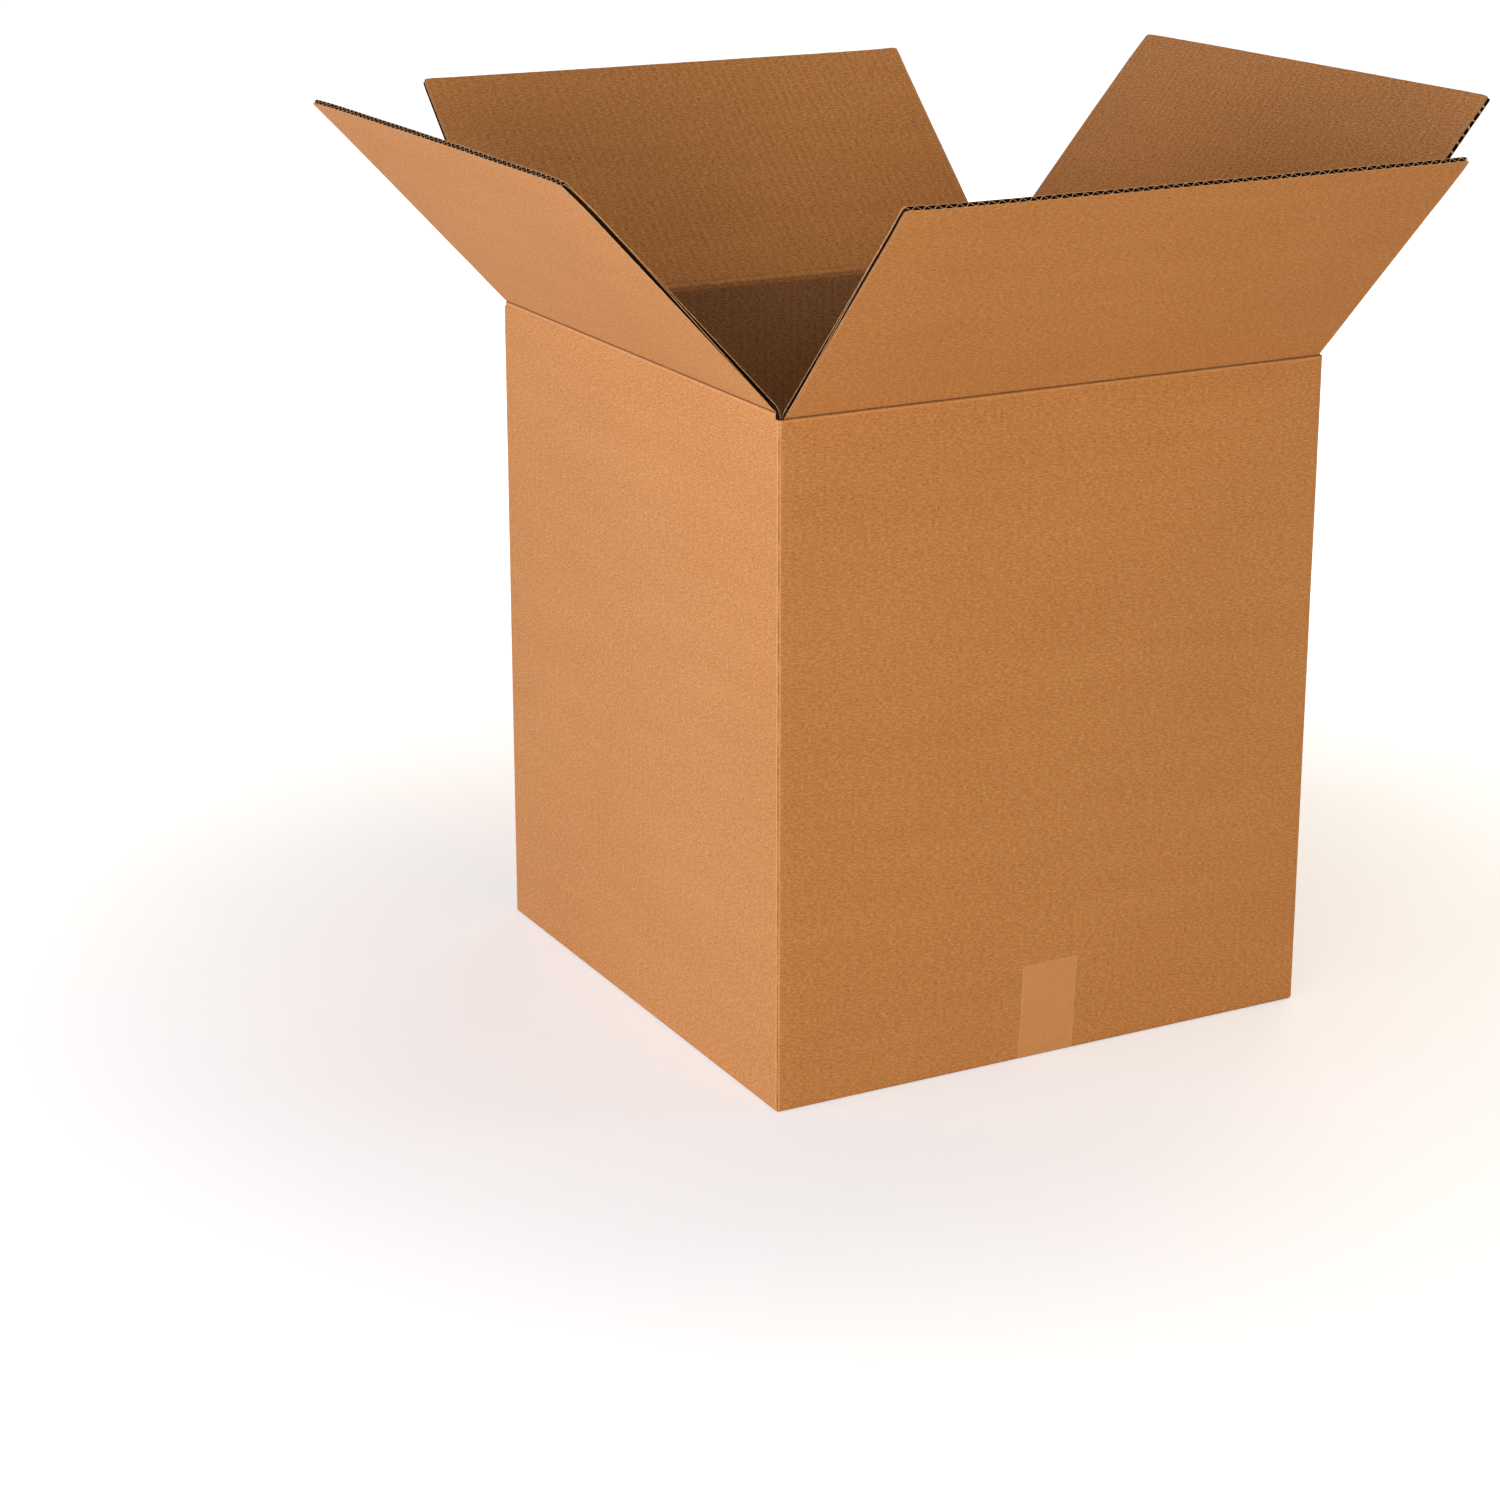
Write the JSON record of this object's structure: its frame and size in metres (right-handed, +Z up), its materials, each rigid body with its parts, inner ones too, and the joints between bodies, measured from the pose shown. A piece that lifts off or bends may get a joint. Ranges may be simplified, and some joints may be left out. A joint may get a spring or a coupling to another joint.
{
  "type": "open cardboard box",
  "caption": "Corrugated shipping carton with open top flaps that fold on their creases, a glued corner joint and a bottom seam closed with tape.",
  "frame": {"origin": "middle of the base, on the surface the box stands on", "axes": "+Z up through the open top, Y along the taped bottom seam, -Y out of the front wall, which carries one end of the tape, and +X to the right seen from the front"},
  "size_m": [0.7721, 0.7955, 0.7051],
  "materials": {
    "kraft_board": "matte unbleached kraft liner",
    "tape": "thin clear tan packing tape, satin"
  },
  "bodies": {
    "carton": {"carton_body": "kraft_board", "bottom_tape": "tape"},
    "front_flap": {"front_inner_flap": "kraft_board"},
    "back_flap": {"back_inner_flap": "kraft_board"},
    "left_flap": {"left_outer_flap": "kraft_board"},
    "right_flap": {"right_outer_flap": "kraft_board"}
  },
  "joints": [
    {"name": "front_crease", "type": "hinge", "parent": "carton", "child": "front_flap", "pos_m": [0, -0.2327, 0.5206], "axis": [1, 0, 0], "range_deg": [-134, 121]},
    {"name": "back_crease", "type": "hinge", "parent": "carton", "child": "back_flap", "pos_m": [0, 0.2327, 0.5206], "axis": [-1, 0, 0], "range_deg": [-137, 118]},
    {"name": "left_crease", "type": "hinge", "parent": "carton", "child": "left_flap", "pos_m": [-0.2327, 0, 0.5249], "axis": [0, -1, 0], "range_deg": [-133, 122]},
    {"name": "right_crease", "type": "hinge", "parent": "carton", "child": "right_flap", "pos_m": [0.2327, 0, 0.5249], "axis": [0, 1, 0], "range_deg": [-130, 125]}
  ]
}
